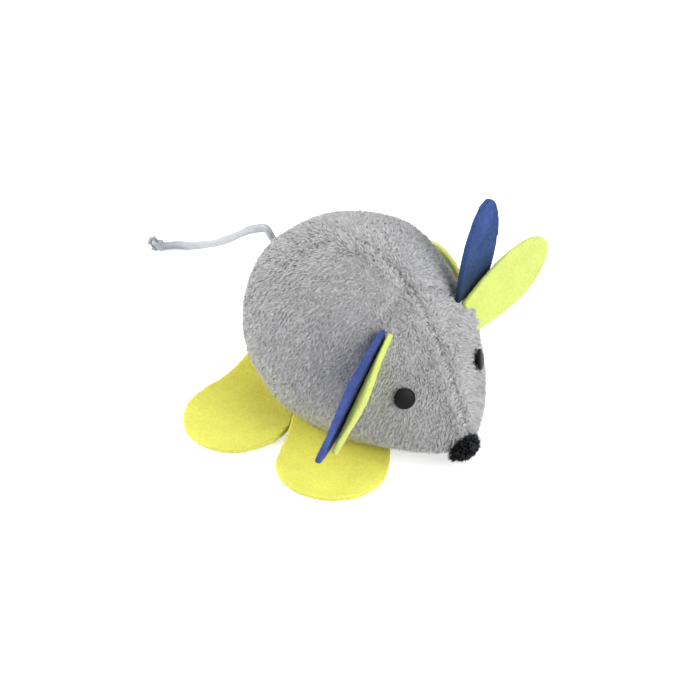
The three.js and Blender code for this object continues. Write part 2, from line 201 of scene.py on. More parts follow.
# Camera
camera = bpy.data.objects.new("camera", bpy.data.cameras.new("camera"))
bpy.context.collection.objects.link(camera)
towards_camera = Vector((
    math.sin(view_azimuth) * math.cos(view_elevation),
    -math.cos(view_azimuth) * math.cos(view_elevation),
    math.sin(view_elevation),
))
camera.location = snout + view_target + view_distance * towards_camera
camera.rotation_mode = "QUATERNION"
camera.rotation_quaternion = (-towards_camera).to_track_quat("-Z", "Y")
camera.data.lens = view_lens
bpy.context.scene.camera = camera
bpy.context.scene.view_settings.view_transform = "Standard"


def alone(piece):
    bpy.ops.object.select_all(action="DESELECT")
    piece.select_set(True)
    bpy.context.view_layer.objects.active = piece


def modify(piece, kind, **settings):
    """Adds a modifier with these settings and applies it."""
    alone(piece)
    modifier = piece.modifiers.new(kind.lower(), kind)
    for name, value in settings.items():
        setattr(modifier, name, value)
    bpy.ops.object.modifier_apply(modifier=modifier.name)


def new_piece(name, points, faces):
    mesh = bpy.data.meshes.new(name)
    mesh.from_pydata(points, [], faces)
    piece = bpy.data.objects.new(name, mesh)
    bpy.context.collection.objects.link(piece)
    return piece


def copy_of(node, name):
    """A new piece with a CAD node's shape, its loose triangles merged."""
    piece = bpy.data.objects.new(name, frame["nodes"][node].data.copy())
    piece.data.name = name
    piece.data.materials.clear()
    bpy.context.collection.objects.link(piece)
    alone(piece)
    bpy.ops.object.mode_set(mode="EDIT")
    bpy.ops.mesh.select_all(action="SELECT")
    bpy.ops.mesh.remove_doubles(threshold=0.01 * mm)
    bpy.ops.object.mode_set(mode="OBJECT")
    return piece


def smooth(piece):
    alone(piece)
    bpy.ops.object.shade_smooth()


def tree_of(piece):
    mesh = piece.data
    return BVHTree.FromPolygons([v.co for v in mesh.vertices], [tuple(p.vertices) for p in mesh.polygons])


def clouds(name, size):
    texture = bpy.data.textures.new(name, "CLOUDS")
    texture.noise_scale = size
    texture.noise_depth = 2
    return texture


def vertices_of(piece):
    """The places and the outward directions of a piece's vertices."""
    places = np.array([v.co for v in piece.data.vertices])
    return places, np.array([v.normal for v in piece.data.vertices])


def move_vertices(piece, places):
    piece.data.vertices.foreach_set("co", places.astype(np.float32).ravel())
    piece.data.update()


def keep_above_floor(piece):
    places, _ = vertices_of(piece)
    places[:, 2] = np.maximum(places[:, 2], 0)
    move_vertices(piece, places)


# Shader groups


def group_of(name, inputs, outputs):
    group = bpy.data.node_groups.new(name, "ShaderNodeTree")
    for label, kind, value in inputs:
        socket = group.interface.new_socket(name=label, in_out="INPUT", socket_type=kind)
        socket.default_value = value
    for label, kind in outputs:
        group.interface.new_socket(name=label, in_out="OUTPUT", socket_type=kind)
    return group, group.nodes.new("NodeGroupInput"), group.nodes.new("NodeGroupOutput")


def node_in(tree, kind, **settings):
    node = tree.nodes.new(kind)
    for name, value in settings.items():
        setattr(node, name, value)
    return node


def mottle_group():
    """A colour broken up by soft patches and fine specks."""
    group, given, made = group_of(
        "mottle",
        [
            ("Colour", "NodeSocketColor", (0.5, 0.5, 0.5, 1)),
            ("Vector", "NodeSocketVector", (0, 0, 0)),
            ("Patch scale", "NodeSocketFloat", 120),
            ("Patch strength", "NodeSocketFloat", 0.1),
            ("Speck scale", "NodeSocketFloat", 1500),
            ("Speck strength", "NodeSocketFloat", 0.1),
        ],
        [("Colour", "NodeSocketColor")],
    )
    colour = given.outputs["Colour"]
    for layer in ("Patch", "Speck"):
        cloud = node_in(group, "ShaderNodeTexNoise")
        cloud.inputs["Detail"].default_value = 3
        group.links.new(given.outputs["Vector"], cloud.inputs["Vector"])
        group.links.new(given.outputs[f"{layer} scale"], cloud.inputs["Scale"])
        spread = node_in(group, "ShaderNodeMapRange")
        spread.inputs["From Min"].default_value = 0.3
        spread.inputs["From Max"].default_value = 0.7
        spread.inputs["To Min"].default_value = -1
        spread.inputs["To Max"].default_value = 1
        group.links.new(cloud.outputs["Fac"], spread.inputs["Value"])
        share = node_in(group, "ShaderNodeMath", operation="MULTIPLY_ADD")
        share.inputs[2].default_value = 1
        group.links.new(spread.outputs["Result"], share.inputs[0])
        group.links.new(given.outputs[f"{layer} strength"], share.inputs[1])
        shaded = node_in(group, "ShaderNodeVectorMath", operation="SCALE")
        group.links.new(colour, shaded.inputs["Vector"])
        group.links.new(share.outputs["Value"], shaded.inputs["Scale"])
        colour = shaded.outputs["Vector"]
    group.links.new(colour, made.inputs["Colour"])
    return group


def fibre_group():
    """The height of tangled fibres: thin wavy ridges that cross."""
    group, given, made = group_of(
        "tangled fibres",
        [
            ("Vector", "NodeSocketVector", (0, 0, 0)),
            ("Scale", "NodeSocketFloat", 900),
            ("Tangle", "NodeSocketFloat", 6),
        ],
        [("Height", "NodeSocketFloat")],
    )
    height = None
    for direction, phase in (("X", 0), ("Y", 2), ("Z", 4)):
        ridges = node_in(group, "ShaderNodeTexWave", wave_type="BANDS", bands_direction=direction)
        ridges.inputs["Detail"].default_value = 3
        ridges.inputs["Detail Scale"].default_value = 1.6
        ridges.inputs["Phase Offset"].default_value = phase
        group.links.new(given.outputs["Vector"], ridges.inputs["Vector"])
        group.links.new(given.outputs["Scale"], ridges.inputs["Scale"])
        group.links.new(given.outputs["Tangle"], ridges.inputs["Distortion"])
        if height is None:
            height = ridges.outputs["Fac"]
            continue
        upper = node_in(group, "ShaderNodeMath", operation="MAXIMUM")
        group.links.new(height, upper.inputs[0])
        group.links.new(ridges.outputs["Fac"], upper.inputs[1])
        height = upper.outputs["Value"]
    group.links.new(height, made.inputs["Height"])
    return group


mottle = mottle_group()
tangled_fibres = fibre_group()


def new_material(name, **sockets):
    """A material with its Principled BSDF and constant values on the shader's own sockets."""
    material = bpy.data.materials.new(name)
    material.use_nodes = True
    shader = material.node_tree.nodes["Principled BSDF"]
    for label, value in sockets.items():
        shader.inputs[label.replace("_", " ")].default_value = value
    return material, material.node_tree, shader


def placed_group(tree, group, vector, **values):
    node = node_in(tree, "ShaderNodeGroup", node_tree=group)
    tree.links.new(vector, node.inputs["Vector"])
    for label, value in values.items():
        node.inputs[label.replace("_", " ")].default_value = value
    return node


def object_places(tree):
    return node_in(tree, "ShaderNodeTexCoord").outputs["Object"]


def bumped(tree, shader, height, distance, strength):
    bump = node_in(tree, "ShaderNodeBump")
    bump.inputs["Distance"].default_value = distance
    bump.inputs["Strength"].default_value = strength
    tree.links.new(height, bump.inputs["Height"])
    tree.links.new(bump.outputs["Normal"], shader.inputs["Normal"])


def felt_material(name, colour, painted_root_shade, patch, speck):
    """Pressed felt: tangled fibres with soft patches in its colour. Towards its seam it fades to a second colour, a
    painted shade where the other petals and the plush shade it.
    """
    material, tree, shader = new_material(
        name, Roughness=0.95, Specular_IOR_Level=0.15, Sheen_Weight=0.04, Sheen_Roughness=0.5,
    )
    places = object_places(tree)
    along = node_in(tree, "ShaderNodeSeparateXYZ")
    tree.links.new(node_in(tree, "ShaderNodeUVMap", uv_map="petal").outputs["UV"], along.inputs["Vector"])
    # Painted shade: the colour runs from the second colour at the root to the felt's own colour at 0.85 of its run from
    # the seam
    root_shade_mask = node_in(tree, "ShaderNodeMapRange", interpolation_type="SMOOTHSTEP")
    root_shade_mask.inputs["From Max"].default_value = 0.85
    tree.links.new(along.outputs["X"], root_shade_mask.inputs["Value"])
    dye_and_painted_shade = node_in(tree, "ShaderNodeMix", data_type="RGBA")
    for socket, value in (("A", painted_root_shade), ("B", colour)):
        next(i for i in dye_and_painted_shade.inputs if i.name == socket and i.type == "RGBA").default_value = (*value, 1)
    tree.links.new(root_shade_mask.outputs["Result"], dye_and_painted_shade.inputs["Factor"])
    mottled_dye_and_painted_shade = placed_group(
        tree, mottle, places, Patch_scale=180, Patch_strength=patch, Speck_scale=1400, Speck_strength=speck,
    )
    tree.links.new(next(o for o in dye_and_painted_shade.outputs if o.type == "RGBA"), mottled_dye_and_painted_shade.inputs["Colour"])
    fibres = placed_group(tree, tangled_fibres, places, Scale=420, Tangle=9)
    tree.links.new(mottled_dye_and_painted_shade.outputs["Colour"], shader.inputs["Base Color"])
    bumped(tree, shader, fibres.outputs["Height"], 0.12 * mm, 0.6)
    return material


def tuft_material(name, root, tip, **sockets):
    """Fibres painted darker at their roots, a painted shade deep among them, and lighter to their tips. The UV map
    gives each one's own shade and the height along it.
    """
    material, tree, shader = new_material(name, **sockets)
    shade = node_in(tree, "ShaderNodeSeparateXYZ")
    tree.links.new(node_in(tree, "ShaderNodeUVMap", uv_map="fibre").outputs["UV"], shade.inputs["Vector"])
    along = node_in(tree, "ShaderNodeMix", data_type="RGBA")
    along.inputs["A"].default_value = (*root, 1)
    along.inputs["B"].default_value = (*tip, 1)
    tree.links.new(shade.outputs["Y"], along.inputs["Factor"])
    spread = node_in(tree, "ShaderNodeMapRange")
    spread.inputs["To Min"].default_value = 0.8
    spread.inputs["To Max"].default_value = 1.16
    tree.links.new(shade.outputs["X"], spread.inputs["Value"])
    own = node_in(tree, "ShaderNodeVectorMath", operation="SCALE")
    tree.links.new(along.outputs["Result"], own.inputs["Vector"])
    tree.links.new(spread.outputs["Result"], own.inputs["Scale"])
    broken = placed_group(
        tree, mottle, object_places(tree), Patch_scale=110, Patch_strength=0.05,
        Speck_scale=620, Speck_strength=0.06,
    )
    tree.links.new(own.outputs["Vector"], broken.inputs["Colour"])
    tree.links.new(broken.outputs["Colour"], shader.inputs["Base Color"])
    return material


def plastic_material(name, colour, roughness, grain):
    """Moulded plastic with a faint grain in its finish."""
    material, tree, shader = new_material(name, Roughness=roughness, Specular_IOR_Level=0.1)
    places = object_places(tree)
    tint = placed_group(
        tree, mottle, places, Colour=(*colour, 1), Patch_scale=400, Patch_strength=0.08,
        Speck_scale=2600, Speck_strength=0.1,
    )
    tree.links.new(tint.outputs["Colour"], shader.inputs["Base Color"])
    cloud = node_in(tree, "ShaderNodeTexNoise")
    cloud.inputs["Scale"].default_value = 900
    tree.links.new(places, cloud.inputs["Vector"])
    bumped(tree, shader, cloud.outputs["Fac"], 0.05 * mm, grain)
    return material


def backing_material(name, colour):
    """Knitted backing cloth and loose filling: mottled, with a soft grain."""
    material, tree, shader = new_material(name, Roughness=1)
    places = object_places(tree)
    tint = placed_group(
        tree, mottle, places, Colour=(*colour, 1), Patch_scale=150, Patch_strength=0.08,
        Speck_scale=1100, Speck_strength=0.2,
    )
    fibres = placed_group(tree, tangled_fibres, places, Scale=300, Tangle=7)
    tree.links.new(tint.outputs["Colour"], shader.inputs["Base Color"])
    bumped(tree, shader, fibres.outputs["Height"], 0.2 * mm, 0.7)
    return material


def satin_material(name, colour):
    """Satin cord: fine threads that wind round it, read from its UV map."""
    material, tree, shader = new_material(
        name, Roughness=0.42, Sheen_Weight=0.3, Sheen_Roughness=0.4, Anisotropic=0.5,
    )
    turned = node_in(tree, "ShaderNodeMapping")
    turned.inputs["Rotation"].default_value = (0, 0, math.radians(24))
    tree.links.new(node_in(tree, "ShaderNodeUVMap", uv_map="cord").outputs["UV"], turned.inputs["Vector"])
    threads = node_in(tree, "ShaderNodeTexWave", wave_type="BANDS", bands_direction="Y")
    threads.inputs["Scale"].default_value = 3.2
    threads.inputs["Distortion"].default_value = 1.2
    threads.inputs["Detail"].default_value = 2
    tree.links.new(turned.outputs["Vector"], threads.inputs["Vector"])
    tint = placed_group(
        tree, mottle, object_places(tree), Colour=(*colour, 1), Patch_scale=240, Patch_strength=0.07,
        Speck_scale=1500, Speck_strength=0.05,
    )
    tree.links.new(tint.outputs["Colour"], shader.inputs["Base Color"])
    bumped(tree, shader, threads.outputs["Fac"], 0.14 * mm, 0.55)
    return material


plush_backing = backing_material("plush backing", (0.42, 0.42, 0.425))
# The pile's darker root colour is painted shade deep among its fibres
plush_pile = tuft_material(
    "plush pile", (0.41, 0.41, 0.415), (0.64, 0.64, 0.65), Roughness=0.9, Specular_IOR_Level=0.2,
    Sheen_Weight=0.15, Sheen_Roughness=0.6,
)
fibre_filling = backing_material("fibre filling", (0.88, 0.88, 0.85))
# The near blue felt's second colour is only a little darker: painted shade at its seam
blue_felt = felt_material("blue felt", (0.06, 0.094, 0.31), (0.055, 0.085, 0.29), 0.18, 0.2)
# A shaded copy of the blue felt for the standing ear: darker all over, and painted dark green-grey towards its seam, a
# painted shadow of the lime ear in front of it
far_blue_felt_painted_shade = felt_material("far blue felt with painted shade", (0.043, 0.087, 0.265), (0.018, 0.036, 0.055), 0.18, 0.2)
lime_felt = felt_material("lime felt", (0.67, 0.76, 0.205), (0.67, 0.78, 0.19), 0.04, 0.05)
# The yellow felt's second colour, darker and warmer, is painted shade where the feet meet the body
yellow_felt = felt_material("yellow felt", (0.86, 0.845, 0.15), (0.85, 0.8, 0.13), 0.04, 0.06)
# A lighter, limer copy of the yellow felt for the curled left front foot: painted light on a foot that lies in the
# body's shade. Towards its seam it fades to a darker yellow
curled_felt_painted_light = felt_material("curled yellow felt with painted light", (0.88, 0.95, 0.32), (0.78, 0.76, 0.13), 0.03, 0.05)
eye_plastic = plastic_material("eye plastic", (0.006, 0.006, 0.0065), 0.4, 0.2)
washer_plastic = plastic_material("washer plastic", (0.8, 0.8, 0.79), 0.45, 0.1)
# The yarn's darker root colour is painted shade inside the pompom
pompom_yarn = tuft_material(
    "pompom yarn", (0.02, 0.021, 0.024), (0.08, 0.085, 0.095), Roughness=0.9, Specular_IOR_Level=0.2,
)
satin_cord = satin_material("satin cord", (0.5, 0.525, 0.56))
# The darker root colour is painted shade where the frayed strands leave the knot
frayed_satin = tuft_material("frayed satin", (0.4, 0.42, 0.45), (0.62, 0.65, 0.69), Roughness=0.6)
# Painted shade: the stitch thread is a dark grey that stands in for the shade in the gaps the stitches pinch in the
# pile
seam_thread_painted_shade = satin_material("seam thread with painted shade", (0.17, 0.17, 0.18))


def dress(piece, material, body, slot, *nodes):
    """Gives a finished piece its material, the body it rides on, if one, and the nodes it stands for."""
    piece.data.materials.clear()
    piece.data.materials.append(material)
    if nodes:
        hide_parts(*nodes)
    if body:
        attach(piece, body)


# Tail cord


def smooth_route(points, step):
    """Points close together along a smooth line through the given ones."""
    knots = [Vector(p) for p in points]
    knots = [2 * knots[0] - knots[1], *knots, 2 * knots[-1] - knots[-2]]
    line = []
    for a, b, c, d in zip(knots, knots[1:], knots[2:], knots[3:]):
        count = max(1, round((c - b).length / step))
        for i in range(count):
            t = i / count
            line.append((
                2 * b + (c - a) * t + (2 * a - 5 * b + 4 * c - d) * t ** 2 + (3 * b - a - 3 * c + d) * t ** 3
            ) / 2)
    line.append(knots[-2])
    return line


def cord_piece(name, line, diameter, flatness, pitch, groove=0):
    """A cord with an oval section, folded along one side, that turns once in each pitch."""
    points, faces, lengths = [], [], [0]
    for here, ahead in zip(line, line[1:]):
        lengths.append(lengths[-1] + (ahead - here).length)
    across = (line[1] - line[0]).orthogonal().normalized()
    for i, here in enumerate(line):
        heading = (line[min(i + 1, len(line) - 1)] - line[max(i - 1, 0)]).normalized()
        across = (across - heading * across.dot(heading)).normalized()
        up = heading.cross(across)
        turn = 2 * math.pi * lengths[i] / pitch
        for side in range(cord_sides):
            angle = 2 * math.pi * side / cord_sides
            across_it = math.cos(angle - turn)
            fold = groove * math.exp(-(((across_it - 1) / 0.12) ** 2))
            radius = diameter / 2 * (1 - (1 - flatness) * across_it ** 2 - fold)
            points.append(here + radius * (across * math.cos(angle) + up * math.sin(angle)))
    for i in range(len(line) - 1):
        for side in range(cord_sides):
            beside = (side + 1) % cord_sides
            faces.append([
                i * cord_sides + side, i * cord_sides + beside,
                (i + 1) * cord_sides + beside, (i + 1) * cord_sides + side,
            ])
    for ring, way in ((0, -1), (len(line) - 1, 1)):
        rim = [ring * cord_sides + side for side in range(cord_sides)]
        faces.append(rim[::way])
    piece = new_piece(name, points, faces)
    layer = piece.data.uv_layers.new(name="cord")
    girth = math.pi * diameter
    for face in piece.data.polygons:
        sides = [piece.data.loops[i].vertex_index % cord_sides for i in face.loop_indices]
        wrapped = len(face.loop_indices) == 4 and max(sides) - min(sides) > 1
        for i, side in zip(face.loop_indices, sides):
            ring = piece.data.loops[i].vertex_index // cord_sides
            round_it = 1 if wrapped and side == 0 else side / cord_sides
            layer.data[i].uv = (lengths[ring] / girth, round_it)
    smooth(piece)
    return piece


knot_low, knot_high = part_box("tail_knot")
knot_middle = (knot_low + knot_high) / 2
tail_line = [snout + p for p in smooth_route(tail_route, cord_step)]
tail_line += [tail_line[-1].lerp(knot_middle, share) for share in (0.25, 0.5, 0.75)]
tail = cord_piece("tail", tail_line, cord_diameter, cord_flatness, cord_pitch, cord_groove)
knot_heading = (tail_line[-1] - tail_line[-3]).normalized()
knot_side = knot_heading.cross(Vector((0, 0, 1))).normalized()


def knot_line(turns, steps):
    """An overhand knot: a trefoil pulled tight along the cord."""
    line = []
    for i in range(steps + 1):
        angle = 2 * math.pi * turns * (i / steps)
        out = 1 + 0.45 * math.cos(1.5 * angle)
        line.append(
            knot_middle
            + knot_heading * (1.35 * mm * out * math.cos(angle))
            + knot_side * (1.25 * mm * out * math.sin(angle))
            + Vector((0, 0, 0.95 * mm * math.sin(1.5 * angle)))
        )
    return line


knot = cord_piece("knot", knot_line(1.9, 90), 1.65 * mm, 0.8, 8 * mm)
keep_above_floor(knot)


def fibres(name, roots, middles, tips, across, facing, shade):
    """Fibres as narrow blades that end in a point, lit as if they all faced the given ways."""
    points = np.stack([
        roots - across / 2, roots + across / 2, middles + across * 0.4, middles - across * 0.4, tips,
    ], 1).reshape(-1, 3)
    points[:, 2] = np.maximum(points[:, 2], 0)
    faces = []
    for first in range(0, len(points), 5):
        faces.append((first, first + 1, first + 2, first + 3))
        faces.append((first + 3, first + 2, first + 4))
    piece = new_piece(name, points.tolist(), faces)
    smooth(piece)
    heights = np.array([0, 0, 0.6, 0.6, 1])
    owner = np.zeros(len(piece.data.loops), int)
    piece.data.loops.foreach_get("vertex_index", owner)
    uv = np.stack([np.repeat(shade, 5)[owner], heights[owner % 5]], 1).astype(np.float32)
    piece.data.uv_layers.new(name="fibre").data.foreach_set("uv", uv.ravel())
    piece.data.normals_split_custom_set_from_vertices(np.repeat(facing, 5, 0).tolist())
    return piece


def unit(vectors):
    return vectors / np.linalg.norm(vectors, axis=1)[:, None]


def scattered(piece, count, chance, keep=None):
    """Random places on a piece with their outward directions, where keep says yes to a face's middle."""
    mesh = piece.data
    mesh.calc_loop_triangles()
    places = np.array([v.co for v in mesh.vertices])
    normals = np.array([v.normal for v in mesh.vertices])
    triangles = np.array([t.vertices for t in mesh.loop_triangles])
    if keep:
        triangles = triangles[keep(places[triangles].mean(1))]
    corners = places[triangles]
    areas = np.linalg.norm(np.cross(corners[:, 1] - corners[:, 0], corners[:, 2] - corners[:, 0]), axis=1)
    picked = triangles[chance.choice(len(triangles), count, p=areas / areas.sum())]
    shares = chance.dirichlet((1, 1, 1), count)[:, :, None]
    return (places[picked] * shares).sum(1), unit((normals[picked] * shares).sum(1))


# The frayed end of the cord stands up out of its knot
chance = np.random.default_rng(5)
roots = np.array(knot_middle) + chance.normal(0, 0.35 * mm, (fray_strands, 3))
way = unit(np.array(fray_way) + chance.normal(0, 0.28, (fray_strands, 3)))
fray_middles = roots + way * fray_length * 0.6
way = unit(way + chance.normal(0, 0.3, (fray_strands, 3)))
fray_tips = fray_middles + way * fray_length * chance.uniform(0.3, 0.6, (fray_strands, 1))
across = unit(np.cross(way, (1, 0.1, 0))) * fray_width
fray = fibres("fray", roots, fray_middles, fray_tips, across, way, chance.random(fray_strands))
dress(fray, frayed_satin, "plush", "satin_cord")
dress(tail, satin_cord, "plush", "satin_cord", "tail_cord")
dress(knot, satin_cord, "plush", "satin_cord", "tail_knot")


def settle(skin):
    """Draws the plush in under the chin, lets the right flank sag and fills the left shoulder."""
    places, outward = vertices_of(skin)
    aside = places[:, 1] - seam_y
    chin = np.exp(-(((places[:, 0] - chin_x) / chin_reach) ** 2))
    chin *= np.maximum(1 - places[:, 2] / chin_height, 0)
    sag = np.exp(-(((places[:, 0] - sag_x) / sag_reach) ** 2)) * np.maximum(1 - places[:, 2] / sag_height, 0)
    sag *= np.clip(-aside / sag_height, 0, 1)
    full = np.exp(-((np.linalg.norm(places - np.array(shoulder), axis=1) / shoulder_reach) ** 2))
    outwards = sag_out * sag - np.minimum(chin_tuck * chin, np.abs(aside))
    moved = places + outward * (shoulder_height * full)[:, None]
    moved[:, 1] += np.where(np.abs(aside) > sag_out, np.sign(aside) * outwards, 0)
    moved[:, 2] += chin_lift * chin - sag_down * sag
    move_vertices(skin, moved)


# Filling
filling = copy_of("stuffing", "filling")
modify(filling, "REMESH", mode="VOXEL", voxel_size=1.6 * mm)
modify(filling, "SMOOTH", factor=0.5, iterations=4)
modify(filling, "DISPLACE", texture=clouds("filling lumps", 5 * mm), strength=0.5 * mm, mid_level=1)
settle(filling)
smooth(filling)
dress(filling, fibre_filling, "plush", "fibre_filling", "stuffing")
filling_tree = tree_of(filling)


# Felt petals, each cut from a flat sheet, with loose fibres standing off them


def turned(angle, side):
    """Straight out to one side, turned to the front by an angle in degrees."""
    return (math.sin(math.radians(angle)), side * math.cos(math.radians(angle)), 0)


petals = [
    ("right_ear_blue", blue_felt, "blue_felt", "hung", 31, ear_size, (0.223, -0.847, -0.484), (0.86, 0.411, -0.303)),
    ("right_ear_lime", lime_felt, "lime_felt", "hung", 27, ear_size, (0.248, -0.835, -0.494), (0.86, 0.411, -0.303)),
    ("left_ear_blue", far_blue_felt_painted_shade, "blue_felt", "folded", 31, ear_size, (0.01, 0.23, 0.975), (0.99, 0.12, -0.045)),
    ("left_ear_lime", lime_felt, "lime_felt", "folded", 29, ear_size, (-0.01, 0.95, 0.3), (0.98, -0.03, 0.18)),
    ("right_front_foot", yellow_felt, "yellow_felt", "laid", 24, front_foot_size, turned(28, -1), (0, 0, 1)),
    ("right_rear_foot", yellow_felt, "yellow_felt", "laid", 34, rear_foot_size, turned(16, -1), (0, 0, 1)),
    ("left_front_foot", curled_felt_painted_light, "yellow_felt", "folded", 39, curled_foot_size, (0, 1, 0), (-0.4695, 0, 0.8829)),
    ("left_rear_foot", yellow_felt, "yellow_felt", "laid", 34, rear_foot_size, turned(-8, 1), (0, 0, 1)),
]
# How far a hanging petal leans to the front, and how much further its upper edge stands out, at its root,
# in between and at its tip
flares = {
    "right_ear_blue": ((0.4 * mm, 0.35 * mm, 0.4 * mm), (-2 * mm, -0.87 * mm, -0.2 * mm)),
    "right_ear_lime": ((-0.1 * mm, -0.15 * mm, 0.3 * mm), (0.6 * mm, 0.15 * mm, 2.6 * mm)),
}
hinges = {joint["child"]: Vector(joint["pos_m"]) for joint in frame["record"]["behaviour"]["joints"]}


def run_of(petal, root):
    """The direction in which a petal runs out from its root, and how far."""
    places = np.array([v.co for v in petal.data.vertices]) - np.array(root)
    run = unit(places.mean(0)[None])[0]
    return run, (places @ run).max()


def petal_width(share, width, root_width, widest):
    """The width of a petal at a share of its length, from where it is caught in the seam to its tip."""
    if share < widest:
        return root_width + (width - root_width) * math.sin(math.pi / 2 * share / widest)
    return width * math.sqrt(1 - ((share - widest) / (1 - widest)) ** 2)


def slope_of(node, held):
    """The slope of a petal at a distance from its root: straight, falling to the floor, or curling up."""
    if node == "left_front_foot":
        return lambda distance: curl_root + (curl_tip - curl_root) * min(max(distance / curl_reach, 0), 1)
    if held != "laid":
        return lambda distance: 0
    fall = 0
    for _ in range(6):
        root_z = hinges[node].z - fold_out * math.sin(fall) + felt_thickness / 2 * math.cos(fall)
        fall = -3 * (root_z - felt_thickness) / foot_bend_reach
    return lambda distance: fall * max(1 - max(distance, 0) / foot_bend_reach, 0) ** 2


def flare_at(node, out, aside):
    """How far a hanging petal is bent to the front, at a share of its reach and of its half width."""
    if node not in flares:
        return 0
    lean, edge = (
        root * (1 - out) + tip * out + 4 * bow * out * (1 - out) for root, bow, tip in flares[node]
    )
    return lean + edge * max(-aside, 0) ** 3


def caught_in_seam(node):
    """How much of a petal is caught in its seam, and how much of that is made here."""
    if "foot" in node:
        return foot_caught, foot_tuck
    if "right" in node:
        return hanging_ear_caught, hanging_ear_caught
    return standing_ear_caught, standing_ear_caught


def petal_sheet(node, held, reach, size, forward, facing, rows=60, columns=24):
    """A petal as a bent sheet without thickness, its root a little inside the plush."""
    caught, tuck = caught_in_seam(node)
    forward = Vector(forward).normalized()
    facing = (Vector(facing) - forward * forward.dot(Vector(facing))).normalized()
    sideways = facing.cross(forward)
    slope_at = slope_of(node, held)
    lift = -felt_thickness / 2 if "foot" in node else 0
    normal = facing * math.cos(slope_at(0)) - forward * math.sin(slope_at(0))
    way = forward * math.cos(slope_at(0)) + facing * math.sin(slope_at(0))
    root = hinges[node] - way * fold_out - normal * lift
    x, z = -tuck * math.cos(slope_at(0)), -tuck * math.sin(slope_at(0))
    step = (reach + tuck) / rows
    points = []
    for row in range(rows + 1):
        distance = row * step - tuck
        slope = slope_at(distance)
        share = min(max((distance + caught) / (reach + caught), 0), 1)
        widths = [max(petal_width(share, size[0], root_width, size[3]), 0.4 * mm) for root_width in size[1:3]]
        middle = root + forward * x + facing * z
        normal = facing * math.cos(slope) - forward * math.sin(slope)
        for column in range(columns + 1):
            aside = 2 * column / columns - 1
            width = widths[aside * sideways.x > 0]
            place = aside * width / size[0]
            bend = lift + felt_cup * place ** 2 + flare_at(node, max(distance, 0) / reach, place)
            points.append(middle + sideways * (aside * width / 2) + normal * bend)
        slope = slope_at(distance + step / 2)
        x += math.cos(slope) * step
        z += math.sin(slope) * step
    across = columns + 1
    faces = [
        (row * across + column, row * across + column + 1, (row + 1) * across + column + 1, (row + 1) * across + column)
        for row in range(rows) for column in range(columns)
    ]
    return points, faces, way


def draped(points):
    """Points of a sheet moved out of the left flank, so that the sheet lies over it."""
    flank = tree_of(frame["nodes"]["left_side_panel"])
    away = felt_thickness / 2 + drape_clearance
    moved = []
    for point in points:
        core = Vector((point.x, seam_y, right_high.z / 2))
        out = (point - core).normalized()
        hit = flank.ray_cast(core + out * 0.1, -out)[0]
        if hit is not None and point.z > foot_caught:
            short = (hit - core).length + away - (point - core).length
            point = point + out * (short + math.sqrt(short ** 2 + (0.6 * mm) ** 2)) / 2
        moved.append(point)
    return moved


def map_petal(piece, root, run, reach):
    """Gives felt its UV map: how far each place lies from the seam, as a share."""
    layer = piece.data.uv_layers.new(name="petal")
    owner = np.zeros(len(piece.data.loops), int)
    piece.data.loops.foreach_get("vertex_index", owner)
    places = np.array([v.co for v in piece.data.vertices]) - np.array(root)
    share = np.clip(places @ run / reach, 0, 1)
    layer.data.foreach_set("uv", np.stack([share[owner], share[owner] * 0], 1).astype(np.float32).ravel())


obstacles = []
for seed, (node, material, slot, held, reach, size, forward, facing) in enumerate(petals, 31):
    points, faces, way = petal_sheet(node, held, reach * mm, size, forward, facing)
    if node == "left_front_foot":
        points = draped(points)
    petal = new_piece(f"felt_{node}", points, faces)
    modify(petal, "SOLIDIFY", thickness=felt_thickness, offset=0)
    modify(petal, "REMESH", mode="VOXEL", voxel_size=felt_voxel)
    modify(petal, "SMOOTH", factor=0.5, iterations=3)
    modify(petal, "DISPLACE", texture=clouds(f"{node} grain", felt_grain), strength=felt_rise, mid_level=0.4)
    root = hinges[node]
    smooth(petal)
    keep_above_floor(petal)
    dress(petal, material, None, slot, node)
    area = sum(face.area for face in petal.data.polygons)
    chance = np.random.default_rng(seed)
    count = int(area / mm ** 2 * fuzz_share)
    roots, outward = scattered(petal, count, chance)
    ways = unit(outward * 0.45 + unit(chance.normal(0, 1, (count, 3))))
    middles = roots + ways * fuzz_length * chance.uniform(0.3, 0.8, (count, 1))
    tips = middles + unit(chance.normal(0, 1, (count, 3)) + ways) * fuzz_length * 0.6
    across = unit(np.cross(ways, outward + 0.001)) * fuzz_width
    fuzz = fibres(f"fuzz_{node}", roots, middles, tips, across, unit(outward + 0.4 * ways), chance.random(count))
    dress(fuzz, material, None, slot)
    for piece in (petal, fuzz):
        map_petal(piece, root, *run_of(petal, root))
        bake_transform(piece)
    obstacles.append(petal)


# Eyes and their washers
for side in ("right", "left"):
    eye = copy_of(f"{side}_eye", f"eye_{side}")
    modify(eye, "BEVEL", width=0.12 * mm, segments=2, angle_limit=math.radians(30))
    modify(eye, "SUBSURF", levels=2, render_levels=2)
    if side == "left":
        middle = sum((v.co for v in eye.data.vertices), Vector()) / len(eye.data.vertices)
        turn = Matrix.Rotation(left_eye_tilt, 4, left_eye_tilt_axis) @ Matrix.Rotation(left_eye_turn, 4, "Z")
        eye.data.transform(Matrix.Translation(middle) @ turn @ Matrix.Translation(-middle))
    smooth(eye)
    dress(eye, eye_plastic, "plush", "eye_plastic", f"{side}_eye")
    obstacles.append(eye)
    for washer_slot in frame["nodes"][f"{side}_eye_washer"].material_slots:
        washer_slot.material = washer_plastic
obstacle_trees = [tree_of(piece) for piece in obstacles]


# Plush skin: backing cloth with the dart pressed in, and a pile of leaning fibres


